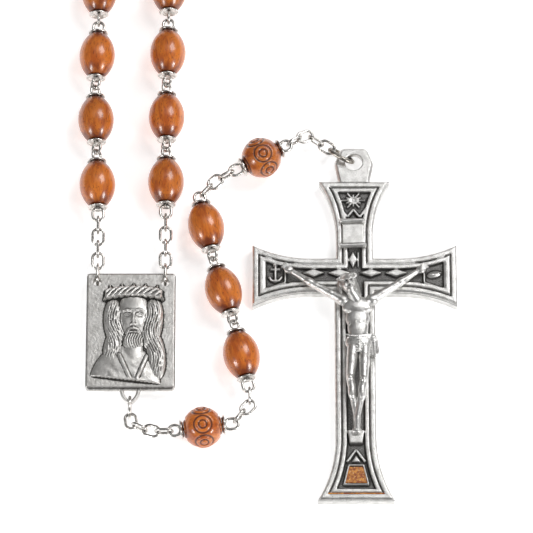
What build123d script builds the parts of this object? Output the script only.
from build123d import *
from dataclasses import dataclass
from math import asin, atan2, cos, degrees, pi, radians, sin, sqrt
import os

# A five-decade rosary laid flat: a loop of wired wooden beads that closes at a rectangular
# centre medal, and a pendant strand that ends in a cast crucifix. Sizes are in millimetres.
# +Z is up from the table, +Y runs from the medal towards the top of the loop.

# Wire, chain links and eyes
WIRE = 0.26                # radius of the wire of the links and the eye pins
LOOP = 0.94                # radius of a link's or an eye's end arc, to the middle of its wire
LINK_STRAIGHT = 0.95       # straight side of a chain link
SLACK = 0.10               # gap between two wires that hang in each other
MEDAL_LOOP = 1.34          # end arc of the larger rings that hold the medal
MEDAL_RING_STRAIGHT = 1.0
BAIL_WIRE = 0.38           # the crucifix hangs from a heavier ring
BAIL_LOOP = 1.75
BAIL_RING_STRAIGHT = 1.0
BAIL_RING_LEAN = 60        # its plane's angle from the table
BAIL_RING_HEIGHT = 2.1
BAIL_RING_OFFSET = 0.3     # from the middle of the bail's hole to the ring's wire

# Beads
OVAL_RADIUS = 3.1
OVAL_HALF = 3.9            # half of the bead's length, end to end
OVAL_END = 1.5             # radius of its flat ends
ROUND_RADIUS = 3.5
ROUND_HALF = 3.25
BEAD_BORE = 0.34
CAP_RADIUS = 1.62
CAP_DEPTH = 0.5
CAP_FLOOR = 0.2
EYE_SEAT = 0.5             # from the bead's end to the middle of the eye's inner wire
SHORT_EYE = 0.15           # straight side of an eye that holds another bead's eye
LONG_EYE = 0.5             # and of an eye that holds a chain

# Centre medal
MEDAL_WIDTH = 15.2
MEDAL_HEIGHT = 20.9
MEDAL_THICKNESS = 1.8
MEDAL_BACK = 0.7           # the rings in its holes lift its back off the table
MEDAL_CORNER = 0.7
MEDAL_HOLE = 0.75
MEDAL_HOLE_X = 5.8
MEDAL_HOLE_Y = 8.9
MEDAL_MIDDLE = MEDAL_BACK + MEDAL_THICKNESS / 2
EYELET_DEPTH = 2.65
EYELET_TOP = 3.9
EYELET_BOTTOM = 2.2
EYELET_BAR = 0.7
EYELET_THICKNESS = 1.0
OPEN_PIVOT_GAP = 0.6       # between the two eyes at the loop's open pivot

# Crucifix: the middle of its arms is the local origin
CROSS_FACE = 2.6           # height of the face of its border
CROSS_TOP = 17.4
CROSS_BOTTOM = 40.7
CROSS_ARM = 17.55
ARM_NECK = 3.15            # half-widths of the arms at the middle, and at their flared ends
ARM_END = 5.6
TOP_NECK = 3.2
TOP_END = 6.15
STEM_NECK = 3.5
STEM_END = 6.5
ARM_FLARE = 7.4            # where each bar's sides start to curve out, from the middle
TOP_FLARE = 7.3
STEM_FLARE = 29.7
BORDER = 1.0
GROOVE = 0.3
GROOVE_DEPTH = 0.4
PANEL_RIM = 0.65
RECESS_DEPTH = 0.6
BAIL_TAB_BACK = 1.15
BAIL_TAB_FACE = 2.5
BAIL_HOLE_RADIUS = 1.5
BAIL_HOLE_Y = 21.05

OVAL_HEIGHT = OVAL_RADIUS  # the beads lie on the table
ROUND_HEIGHT = ROUND_RADIUS
UP = (0, 0, 1)
FLAT, UPRIGHT = 0, 90      # the roll of a loop about its strand
LEANING, LEANING_BACK = 45, -45

parts = {}                 # node name: its solids
bodies = {}                # body name: its nodes
hinges = []                # (child body, parent body, point, axis)


@dataclass
class Eye:
    """The loop at one end of a piece: its end arc's radius, its wire and its roll."""
    roll: float = FLAT
    radius: float = LOOP
    wire: float = WIRE


@dataclass
class End:
    """The far end of the piece laid last: where its arc's centre is and which way it faces."""
    body: str
    centre: Vector
    heading: float
    slope: float
    eye: Eye


def facing(heading, slope):
    """The turn from +X to a direction given by its heading in plan and its slope."""
    return Rot(0, 0, heading) * Rot(0, -slope, 0)


def along(heading, slope=0.0):
    """The unit vector of that direction."""
    flat = cos(radians(slope))
    return Vector(flat * cos(radians(heading)), flat * sin(radians(heading)), sin(radians(slope)))


def normal(heading, slope, roll):
    """The axis about which a loop turns in its own plane."""
    return (facing(heading, slope) * Rot(roll, 0, 0)).z_axis.direction


def hooked(end, near, heading, slope, slack=0.0):
    """The centre of the next piece's near arc, which hangs in the last piece's far arc."""
    way = along(heading, slope)
    across = normal(end.heading, end.slope, end.eye.roll)
    pull = (way - across * way.dot(across)).normalized()
    play = end.eye.radius - end.eye.wire - near.wire - SLACK - slack
    return end.centre + pull * play + way * near.radius


def place(end, near, heading, distance, height, slack=0.0):
    """Lays one piece on from the last, so that its point at a distance has a given height.

    Returns the piece's slope and its location, at its near arc.
    """
    low, high = -60.0, 60.0
    for _ in range(24):
        slope = (low + high) / 2
        reached = hooked(end, near, heading, slope, slack) + along(heading, slope) * distance
        if reached.Z < height:
            low = slope
        else:
            high = slope
    return slope, Pos(*hooked(end, near, heading, slope, slack)) * facing(heading, slope)


def hinge_in_held_loop(end, body):
    """The next piece swings in the plane of the loop that it hangs in."""
    hinges.append((body, end.body, end.centre, normal(end.heading, end.slope, end.eye.roll)))


def ring(radius, straight, wire):
    """A closed wire ring with round ends, in the XY plane, its long side along X."""
    path = SlotCenterToCenter(straight, 2 * radius).face().outer_wire()
    section = Plane(origin=(0, radius, 0), x_dir=(0, 1, 0), z_dir=(1, 0, 0)) * Circle(wire)
    return sweep(section, path=path)


def oval_bead():
    edge = ThreePointArc((-OVAL_HALF, OVAL_END), (0, OVAL_RADIUS), (OVAL_HALF, OVAL_END))
    return turned_bead(edge, OVAL_HALF)


def round_bead():
    end_radius = sqrt(ROUND_RADIUS**2 - ROUND_HALF**2)
    edge = ThreePointArc((-ROUND_HALF, end_radius), (0, ROUND_RADIUS), (ROUND_HALF, end_radius))
    return turned_bead(edge, ROUND_HALF)


def turned_bead(edge, half):
    """A drilled bead turned about X, from its outer edge."""
    bore = Polyline(edge @ 1, (half, BEAD_BORE), (-half, BEAD_BORE), edge @ 0)
    return revolve(make_face([edge, *bore.edges()]), axis=Axis.X)


def cap():
    """A dished cap that sits on a bead's end at x = 0 and opens along +X, with a rolled rim."""
    gap, hole = 0.02, WIRE + 0.02
    foot, lip = 1.22, 0.17
    dish = Polyline(
        (gap, hole), (gap, foot), (CAP_DEPTH - lip, CAP_RADIUS), (CAP_DEPTH, CAP_RADIUS),
        (CAP_DEPTH, CAP_RADIUS - lip), (CAP_FLOOR, foot - lip), (CAP_FLOOR, hole), close=True,
    )
    rim = Location((CAP_DEPTH - lip / 2, CAP_RADIUS - lip / 2)) * Circle(lip)
    return revolve(make_face(dish) + rim, axis=Axis.X)


def eye_reach(half, straight):
    """From a bead's middle to the centre of its eye's outer arc."""
    return half + EYE_SEAT + straight + LOOP


def eye_pin(half, near, near_straight, far, far_straight):
    """A wire through a bead along X, bent into a closed eye at each end."""
    pin = Rot(0, 90, 0) * Cylinder(WIRE, 2 * (half + EYE_SEAT))
    for side, eye, straight in ((-1, near, near_straight), (1, far, far_straight)):
        middle = eye_reach(half, straight) - straight / 2
        pin += Pos(side * middle, 0, 0) * Rot(eye.roll, 0, 0) * ring(LOOP, straight, WIRE)
    return pin.solid()


def two_caps(half):
    return [Pos(half, 0, 0) * cap(), Pos(-half, 0, 0) * Rot(0, 0, 180) * cap()]


def bead_unit(kind, near, near_straight, far, far_straight):
    """A bead, and its pin and caps, with the bead's middle at the origin."""
    half = ROUND_HALF if kind == "round" else OVAL_HALF
    wood = round_bead() if kind == "round" else oval_bead()
    return wood, [eye_pin(half, near, near_straight, far, far_straight), *two_caps(half)]


def lay_link(end, roll, heading, height, slack=0.0):
    """A chain link whose far arc is at a height. Returns its middle's location, and its end."""
    eye = Eye(roll)
    slope, location = place(end, eye, heading, LINK_STRAIGHT, height, slack)
    far = (location * Pos(LINK_STRAIGHT, 0, 0)).position
    middle = location * Pos(LINK_STRAIGHT / 2, 0, 0) * Rot(roll, 0, 0)
    return middle, End(end.body, far, heading, slope, eye)


def lay_bead(end, kind, near, near_straight, far, far_straight, heading, slack=0.0):
    """A bead that lies on the table. Returns its middle's location, and its pin's end."""
    half = ROUND_HALF if kind == "round" else OVAL_HALF
    height = ROUND_HEIGHT if kind == "round" else OVAL_HEIGHT
    to_middle = eye_reach(half, near_straight)
    slope, location = place(end, near, heading, to_middle, height, slack)
    middle = location * Pos(to_middle, 0, 0)
    far_arc = (middle * Pos(eye_reach(half, far_straight), 0, 0)).position
    return middle, End(end.body, far_arc, heading, slope, far)


def add_link(end, body, roll, heading, height, slack=0.0):
    """Adds one chain link to the strand as its own node and body."""
    middle, new_end = lay_link(end, roll, heading, height, slack)
    parts[body] = [middle * ring(LOOP, LINK_STRAIGHT, WIRE)]
    bodies[body] = [body]
    hinge_in_held_loop(end, body)
    new_end.body = body
    return new_end


def add_bead(end, name, kind, near, near_straight, far, far_straight, heading):
    """Adds a bead that spins on its own pin: two nodes and two bodies."""
    pin = name.replace("bead", "pin")
    middle, new_end = lay_bead(end, kind, near, near_straight, far, far_straight, heading)
    wood, fittings = bead_unit(kind, near, near_straight, far, far_straight)
    parts[name] = [middle * wood]
    parts[pin + "_and_caps"] = [middle * piece for piece in fittings]
    bodies[pin] = [pin + "_and_caps"]
    bodies[name] = [name]
    hinge_in_held_loop(end, pin)
    hinges.append((name, pin, middle.position, middle.x_axis.direction))
    new_end.body = pin
    return new_end


# ---------------------------------------------------------------- centre medal

def centre_medal():
    """The plate with its two holes, the raised relief's ground form, and the lower eyelet."""
    plate = Box(MEDAL_WIDTH, MEDAL_HEIGHT, MEDAL_THICKNESS)
    plate = fillet(plate.edges().filter_by(Axis.Z), MEDAL_CORNER)
    plate = chamfer(plate.faces().sort_by(Axis.Z)[-1].edges(), 0.2)
    plate = Pos(0, 0, MEDAL_MIDDLE) * plate
    for x in (-MEDAL_HOLE_X, MEDAL_HOLE_X):
        plate -= Pos(x, MEDAL_HOLE_Y, MEDAL_MIDDLE) * Cylinder(MEDAL_HOLE, 2 * MEDAL_THICKNESS)
    return [(plate + bust() + eyelet()).solid()]


def bust():
    """The bust in relief: shoulders, neck, hair and head as plain rounded forms."""
    face = MEDAL_BACK + MEDAL_THICKNESS
    flat = Pos(0, 0, face - 0.5) * Box(40, 40, 1.0)
    head = Pos(0.2, 2.4, face - 0.7) * scaled_ball(3.0, 3.9, 2.1)
    hair = Pos(0.4, 0.6, face - 0.9) * scaled_ball(4.4, 5.2, 1.7)
    neck = Pos(0.9, -3.0, face - 0.8) * scaled_ball(2.4, 3.6, 1.7)
    shoulders = Pos(-1.0, -6.3, face - 0.9) * scaled_ball(5.6, 2.6, 1.6)
    relief = head + hair + neck + shoulders
    return relief - flat - Pos(0, 0, face - 2) * Box(40, 40, 3.98)


def scaled_ball(x, y, z):
    return scale(Sphere(1), by=(x, y, z))


def eyelet():
    """The tapered loop cast onto the medal's lower edge."""
    top = -MEDAL_HEIGHT / 2 + 0.2
    bottom = -MEDAL_HEIGHT / 2 - EYELET_DEPTH
    outer = Polygon(
        (-EYELET_TOP / 2, top), (-EYELET_BOTTOM / 2, bottom), (EYELET_BOTTOM / 2, bottom),
        (EYELET_TOP / 2, top), align=None,
    )
    outer = fillet(outer.vertices().sort_by(Axis.Y)[:2], 0.7)
    opening = offset(outer, amount=-EYELET_BAR)
    band = extrude(outer - opening, EYELET_THICKNESS)
    return Pos(0, 0, MEDAL_MIDDLE - EYELET_THICKNESS / 2) * band


# ---------------------------------------------------------------- crucifix

def flared_arm(neck, end, flare, length):
    """Half of a bar along +X, whose sides curve out tangentially to a wider end."""
    upper = Line((0, neck), (flare, neck))
    curve = TangentArc((flare, neck), (length, end), tangent=(1, 0))
    back = Line((length, end), (length, -end))
    lower_curve = TangentArc((flare, -neck), (length, -end), tangent=(1, 0))
    lower = Line((0, -neck), (flare, -neck))
    middle = Line((0, neck), (0, -neck))
    return make_face([upper, curve, back, lower_curve, lower, middle])


def cross_outline(inset=0.0):
    """The outline of the cross in plan, or the same drawn in by an even inset."""
    arms = flared_arm(ARM_NECK, ARM_END, ARM_FLARE, CROSS_ARM)
    outline = arms + Rot(0, 0, 180) * arms
    outline += Rot(0, 0, 90) * flared_arm(TOP_NECK, TOP_END, TOP_FLARE, CROSS_TOP)
    outline += Rot(0, 0, -90) * flared_arm(STEM_NECK, STEM_END, STEM_FLARE, CROSS_BOTTOM)
    outline = Sketch() + make_face(outline.face().outer_wire())
    if inset:
        outline = offset(outline, amount=-inset, kind=Kind.INTERSECTION)
    return outline


def bail_tab():
    """The pierced tab above the cross, wider at its middle and rounded at the top."""
    half_foot, half_middle, top = 2.6, 3.4, BAIL_HOLE_Y + 2.75
    shape = Polygon(
        (-half_foot, CROSS_TOP - 0.5), (half_foot, CROSS_TOP - 0.5), (half_middle, BAIL_HOLE_Y - 0.2),
        (half_foot - 0.4, top), (0.4 - half_foot, top), (-half_middle, BAIL_HOLE_Y - 0.2),
        align=None,
    )
    shape = fillet(shape.vertices().sort_by(Axis.Y)[2:], 1.2)
    tab = extrude(shape, BAIL_TAB_FACE - BAIL_TAB_BACK)
    tab = chamfer(tab.faces().sort_by(Axis.Z)[-1].edges(), 0.4)
    tab -= Pos(0, BAIL_HOLE_Y, 0) * Cylinder(BAIL_HOLE_RADIUS, 10)
    return Pos(0, 0, BAIL_TAB_BACK) * tab


def cross():
    """The cast cross: a border, a groove inside it, and recessed panels."""
    body = extrude(cross_outline(), CROSS_FACE)
    top = body.faces().sort_by(Axis.Z)[-1]
    body = chamfer(top.edges(), 0.3)
    groove = cross_outline(BORDER) - cross_outline(BORDER + GROOVE)
    body -= Pos(0, 0, CROSS_FACE - GROOVE_DEPTH) * extrude(groove, 1)
    recess = cross_outline(BORDER + GROOVE + PANEL_RIM)
    body -= Pos(0, 0, CROSS_FACE - RECESS_DEPTH) * extrude(recess, 1)
    return (body + bail_tab()).solid()


def crossbeam_panels():
    """Raised lozenges on the floor of the recesses, two on each arm and one above the head."""
    floor = CROSS_FACE - RECESS_DEPTH
    lozenges = []
    for x in (-7.1, -2.7, 2.7, 7.1):
        lozenges.append(Pos(x, 0.4, floor) * lozenge(1.9, 0.7))
    lozenges.append(Pos(-0.3, 2.85, floor) * lozenge(0.7, 1.4))
    return lozenges


def lozenge(half_x, half_y):
    outline = Polygon((half_x, 0), (0, half_y), (-half_x, 0), (0, -half_y), align=None)
    return extrude(outline, RECESS_DEPTH, dir=UP)


def title_scroll():
    """The blank title board: a sheet with a roll at its top and at its foot."""
    width, height, thickness, roll = 3.4, 4.4, 0.5, 0.5
    sheet = Pos(0, 0, thickness / 2) * Box(width, height, thickness)
    for y in (-height / 2, height / 2):
        sheet += Pos(0, y, roll) * Rot(0, 90, 0) * Cylinder(roll, width + 0.4)
    return Pos(-0.2, 7.5, CROSS_FACE) * sheet


def on_circle(middle, radius, angle):
    """The point of a circle about (0, middle) at an angle in radians from the X axis."""
    return (radius * cos(angle), middle + radius * sin(angle))


def limb(start, start_radius, end, end_radius):
    """A tapered limb with round ends between two points."""
    a, b = Vector(*start), Vector(*end)
    length = (b - a).length
    tangent, quarter = asin((start_radius - end_radius) / length), pi / 2
    foot = [on_circle(0, start_radius, t) for t in (-quarter, (tangent - quarter) / 2, tangent)]
    tip = [on_circle(length, end_radius, t) for t in (tangent, (tangent + quarter) / 2, quarter)]
    edges = [ThreePointArc(*foot), Line(foot[2], tip[0]), ThreePointArc(*tip), Line(tip[2], foot[0])]
    profile = Plane.XZ * make_face(edges)
    return Plane(origin=a, z_dir=b - a) * revolve(profile, axis=Axis.Z)


def corpus():
    """The figure on the cross in plain rounded forms, flat where it lies on the cross."""
    hand_span, elbow_span, shoulder_span = 11.35, 6.6, 2.5
    forms = [
        Pos(-1.2, -2.4, 4.8) * scaled_ball(1.5, 2.1, 1.3),        # head, bowed to one side
        limb((-0.7, -3.6, 4.3), 0.8, (0.2, -6.0, 4.0), 1.0),      # neck
        Pos(0.5, -6.6, 3.9) * scaled_ball(2.6, 2.6, 1.3),         # chest
        Pos(0.5, -10.2, 3.8) * scaled_ball(1.95, 3.6, 1.1),       # waist
        Pos(0.6, -13.6, 3.9) * scaled_ball(2.5, 2.6, 1.4),        # cloth
        Pos(2.9, -12.4, 3.6) * scaled_ball(1.0, 1.3, 0.9),        # its knot
        Pos(0.1, -28.2, 3.6) * scaled_ball(1.0, 1.3, 0.8),        # feet
    ]
    for side in (-1, 1):
        shoulder = (0.4 + side * shoulder_span, -5.0, 3.7)
        elbow = (side * elbow_span, -2.6, 3.6)
        wrist = (side * (hand_span - 0.6), 0.2, 3.4)
        forms.append(limb(shoulder, 1.0, elbow, 0.72))
        forms.append(limb(elbow, 0.67, wrist, 0.48))
        forms.append(Pos(side * (hand_span + 0.2), 0.7, 3.3) * scaled_ball(1.2, 0.9, 0.6))
    for hip, knee, foot in (
        ((-0.5, -15.0, 3.9), (-1.0, -20.5, 4.4), (0.3, -27.0, 3.6)),
        ((1.6, -15.0, 3.9), (1.3, -20.8, 4.5), (0.1, -27.2, 3.9)),
    ):
        forms.append(limb(hip, 1.25, knee, 0.95))
        forms.append(limb(knee, 0.88, foot, 0.6))
    below = Pos(0, 0, CROSS_FACE - 5) * Box(60, 80, 10)
    flat_backed = [(form - below).solid() for form in forms]
    return flat_backed[0].fuse(*flat_backed[1:])


def foot_rest():
    """The block under the feet, part of the cross casting."""
    outline = Polygon((-1.4, -28.4), (1.4, -28.4), (1.05, -30.7), (-1.05, -30.7), align=None)
    return Pos(0, 0, CROSS_FACE - RECESS_DEPTH) * extrude(outline, RECESS_DEPTH + 0.4, dir=UP)


def enamel():
    """Two amber inlays near the foot: a tapered panel, and a thin bar in the lower groove."""
    panel = Polygon((-1.2, -34.8), (1.2, -34.8), (1.95, -37.6), (-1.95, -37.6), align=None)
    panel = Pos(0, 0, CROSS_FACE - RECESS_DEPTH) * extrude(panel, 0.35, dir=UP)
    bar_y = BORDER + GROOVE / 2 - CROSS_BOTTOM
    bar = Pos(0, bar_y, CROSS_FACE - GROOVE_DEPTH) * extrude(Rectangle(9.6, 0.24), 0.3, dir=UP)
    return [panel.solid(), bar.solid()]


def crucifix_pieces():
    """The cross with its raised details, and the pieces fixed to it, in the cross's own frame."""
    casting = cross()
    for raised in (*crossbeam_panels(), foot_rest()):
        casting += raised
    return {
        "crucifix_cross": [casting.solid()],
        "corpus": [corpus()],
        "title_scroll": [title_scroll().solid()],
        "enamel_inlay": enamel(),
    }


# ---------------------------------------------------------------- strands

def medal_ring(name, x, y, heading, medal_end):
    """A larger ring, upright in a hole or in the eyelet. Its near arc is the pivot."""
    centre = Vector(x, y, MEDAL_MIDDLE)
    eye = Eye(UPRIGHT, MEDAL_LOOP)
    middle = Pos(*centre) * facing(heading, 0) * Pos(MEDAL_RING_STRAIGHT / 2, 0, 0)
    parts[name] = [middle * Rot(UPRIGHT, 0, 0) * ring(MEDAL_LOOP, MEDAL_RING_STRAIGHT, WIRE)]
    bodies[name] = [name]
    hinges.append((name, medal_end, centre, normal(heading, 0, UPRIGHT)))
    return End(name, centre + along(heading) * MEDAL_RING_STRAIGHT, heading, 0, eye)


def loop_strand(side, x, headings, slack):
    """One side of the loop in view: a ring, four links and three oval beads."""
    far_hole = 1.14   # from the hole's middle to the centre of the ring's arc
    end = medal_ring(f"{side}_medal_ring", x, MEDAL_HOLE_Y + far_hole, 90, "centre_medal")
    links = ((FLAT, 1.9), (UPRIGHT, 2.3), (FLAT, 2.7), (UPRIGHT, OVAL_HEIGHT))
    for n, (roll, height) in enumerate(links, 1):
        end = add_link(end, f"{side}_link_{n}", roll, headings[0], height, slack)
    eyes = (
        (Eye(FLAT), LONG_EYE, Eye(LEANING), SHORT_EYE),
        (Eye(LEANING_BACK), SHORT_EYE, Eye(LEANING), SHORT_EYE),
        (Eye(LEANING_BACK), SHORT_EYE, Eye(FLAT), SHORT_EYE),
    )
    for n, (heading, bead_eyes) in enumerate(zip(headings[1:], eyes), 1):
        end = add_bead(end, f"{side}_bead_{n}", "oval", *bead_eyes, heading)
    return end


def pendant():
    """The strand from the medal's eyelet to the crucifix."""
    end = medal_ring("pendant_ring", 0, -13.2, -90, "centre_medal")
    links = ((FLAT, -82, 2.1), (UPRIGHT, -29, 2.6), (FLAT, -19, 3.1), (UPRIGHT, -2, ROUND_HEIGHT))
    for n, link in enumerate(links, 1):
        end = add_link(end, f"pendant_link_{n}", *link)
    end = add_bead(end, "pendant_round_bead_1", "round", Eye(FLAT), SHORT_EYE,
                   Eye(FLAT), LONG_EYE, 7)
    links = ((UPRIGHT, 52, 3.4), (FLAT, 48, 3.25), (UPRIGHT, 91, OVAL_HEIGHT))
    for n, link in enumerate(links, 5):
        end = add_link(end, f"pendant_link_{n}", *link)
    end = add_bead(end, "pendant_bead_1", "oval", Eye(FLAT), LONG_EYE,
                   Eye(LEANING), SHORT_EYE, 102)
    end = add_bead(end, "pendant_bead_2", "oval", Eye(LEANING_BACK), SHORT_EYE,
                   Eye(LEANING), SHORT_EYE, 107)
    end = add_bead(end, "pendant_bead_3", "oval", Eye(LEANING_BACK), SHORT_EYE,
                   Eye(FLAT), SHORT_EYE, 102)
    links = ((UPRIGHT, 48, 3.2), (FLAT, 44, 3.3), (UPRIGHT, 30, ROUND_HEIGHT))
    for n, link in enumerate(links, 8):
        end = add_link(end, f"pendant_link_{n}", *link)
    end = add_bead(end, "pendant_round_bead_2", "round", Eye(FLAT), LONG_EYE,
                   Eye(FLAT), SHORT_EYE, 28)
    links = ((UPRIGHT, 35, 3.1), (FLAT, 25, 2.7), (UPRIGHT, -31, 2.3), (15, -30, 2.2))
    for n, link in enumerate(links, 11):
        end = add_link(end, f"pendant_link_{n}", *link)
    return end


def bail_and_crucifix(end):
    """The leaning heavy ring, and the crucifix that hangs from it."""
    heading = -32
    near = Eye(-BAIL_RING_LEAN, BAIL_LOOP, BAIL_WIRE)
    centre = hooked(end, near, heading, 0)
    centre.Z = BAIL_RING_HEIGHT
    location = Pos(*centre) * facing(heading, 0)
    middle = location * Pos(BAIL_RING_STRAIGHT / 2, 0, 0) * Rot(near.roll, 0, 0)
    parts["bail_ring"] = [middle * ring(BAIL_LOOP, BAIL_RING_STRAIGHT, BAIL_WIRE)]
    bodies["bail_ring"] = ["bail_ring"]
    hinge_in_held_loop(end, "bail_ring")
    far = centre + along(heading) * BAIL_RING_STRAIGHT
    hole = far + along(heading) * (BAIL_LOOP + BAIL_RING_OFFSET)
    arms_middle = Pos(hole.X, hole.Y - BAIL_HOLE_Y, 0)
    for node, pieces in crucifix_pieces().items():
        parts[node] = [arms_middle * piece for piece in pieces]
    bodies["crucifix"] = ["crucifix_cross", "corpus", "title_scroll", "enamel_inlay"]
    axis = (location * Rot(near.roll, 0, 0)).z_axis.direction
    hinges.append(("crucifix", "bail_ring", far, axis))


# ---------------------------------------------------------------- the rest of the loop

CHAINED_ROUND = ["link"] * 3 + ["round"] + ["link"] * 3
SIDE_PLAN = ["oval"] * 7 + CHAINED_ROUND + ["oval"] * 8
TOP_PLAN = ["oval"] * 2 + CHAINED_ROUND + ["oval"] * 10 + CHAINED_ROUND + ["oval"] * 2
BEAD_PITCH = 12.4          # along a span, from one piece of a kind to the next
LINK_PITCH = 2.2


def span_pieces(plan, end, heading_at):
    """Walks along a span. Gives each piece's kind, place and eyes, and the span's last end."""
    laid, travelled = [], 0.0
    for n, kind in enumerate(plan):
        near = Eye(UPRIGHT if end.eye.roll == FLAT else FLAT)
        heading = heading_at(travelled)
        before = n > 0 and plan[n - 1] == "link"
        after = n + 1 < len(plan) and plan[n + 1] == "link"
        if kind == "link":
            beside_round = "round" in (plan[n - 1], plan[n + 1])
            height = ROUND_HEIGHT if beside_round else OVAL_HEIGHT
            middle, end = lay_link(end, near.roll, heading, height)
            laid.append((kind, middle))
            travelled += LINK_PITCH
        else:
            straights = (LONG_EYE if before else SHORT_EYE, LONG_EYE if after else SHORT_EYE)
            far = Eye(near.roll)
            middle, end = lay_bead(end, kind, near, straights[0], far, straights[1], heading)
            laid.append((kind, middle, near, straights[0], far, straights[1]))
            travelled += BEAD_PITCH
    return laid, end


def add_span(name, laid):
    """Adds a laid span as one rigid body: its wood in one node and its metal in another."""
    wood, metal = [], []
    for kind, location, *eyes in laid:
        if kind == "link":
            metal.append(location * ring(LOOP, LINK_STRAIGHT, WIRE))
        else:
            bead, fittings = bead_unit(kind, *eyes)
            wood.append(location * bead)
            metal += [location * piece for piece in fittings]
    parts[f"{name}_span_beads"] = wood
    parts[f"{name}_span_pins_and_caps"] = metal
    bodies[f"{name}_span"] = [f"{name}_span_beads", f"{name}_span_pins_and_caps"]


def side_heading(side):
    """A side's heading along its way: first outwards, then round towards the top."""
    outward, outward_run, turn_radius = 58, 84, 88

    def heading_at(travelled):
        if travelled < outward_run:
            return 90 + side * outward * travelled / outward_run
        return 90 + side * (outward - degrees((travelled - outward_run) / turn_radius))
    return heading_at


def add_loop(left_end, right_end):
    """The three unseen spans: up each side, and across the top, which closes on the left."""
    left, left_far = span_pieces(SIDE_PLAN, left_end, side_heading(1))
    right, right_far = span_pieces(SIDE_PLAN, right_end, side_heading(-1))
    add_span("left", left)
    hinge_in_held_loop(left_end, "left_span")
    add_span("right", right)
    hinge_in_held_loop(right_end, "right_span")
    right_far.body = "right_span"
    goal = left_far.centre - right_far.centre
    half_run = 110
    low, high = 0.0, 1.2
    for _ in range(24):     # the even turn that makes the top span as long as its gap
        turn = (low + high) / 2
        _, far = span_pieces(TOP_PLAN, right_far, lambda run: 180 + turn * (run - half_run))
        chord = far.centre - right_far.centre
        if chord.length + 2 * (LOOP + WIRE) + OPEN_PIVOT_GAP > goal.length:
            low = turn
        else:
            high = turn
    lean = degrees(atan2(goal.Y, goal.X)) - degrees(atan2(chord.Y, chord.X))
    top, _ = span_pieces(
        TOP_PLAN, right_far, lambda run: 180 + lean + turn * (run - half_run))
    add_span("top", top)
    hinge_in_held_loop(right_far, "top_span")


def build():
    parts["centre_medal"] = centre_medal()
    bodies["centre_medal"] = ["centre_medal"]
    left_end = loop_strand("left", -MEDAL_HOLE_X, (90, 92, 92, 88), 0.12)
    right_end = loop_strand("right", MEDAL_HOLE_X, (90, 90, 90, 89), 0.0)
    bail_and_crucifix(pendant())
    add_loop(left_end, right_end)


def centred():
    """Moves everything so that the origin is under the middle of the whole, on the table."""
    low, high = [1e9] * 3, [-1e9] * 3
    for solids in parts.values():
        for solid in solids:
            box = solid.bounding_box()
            low = [min(a, b) for a, b in zip(low, (box.min.X, box.min.Y, box.min.Z))]
            high = [max(a, b) for a, b in zip(high, (box.max.X, box.max.Y, box.max.Z))]
    return Vector(-(low[0] + high[0]) / 2, -(low[1] + high[1]) / 2, -low[2])


build()
shift = centred()
os.makedirs("parts", exist_ok=True)
for node, solids in parts.items():
    moved = [Pos(*shift) * solid for shape in solids for solid in shape.solids()]
    export_step(Compound(children=moved) if len(moved) > 1 else moved[0], f"parts/{node}.step")
hinges = [(child, parent, point + shift, axis) for child, parent, point, axis in hinges]
print(len(parts), "nodes,", len(hinges), "joints, moved by", shift)
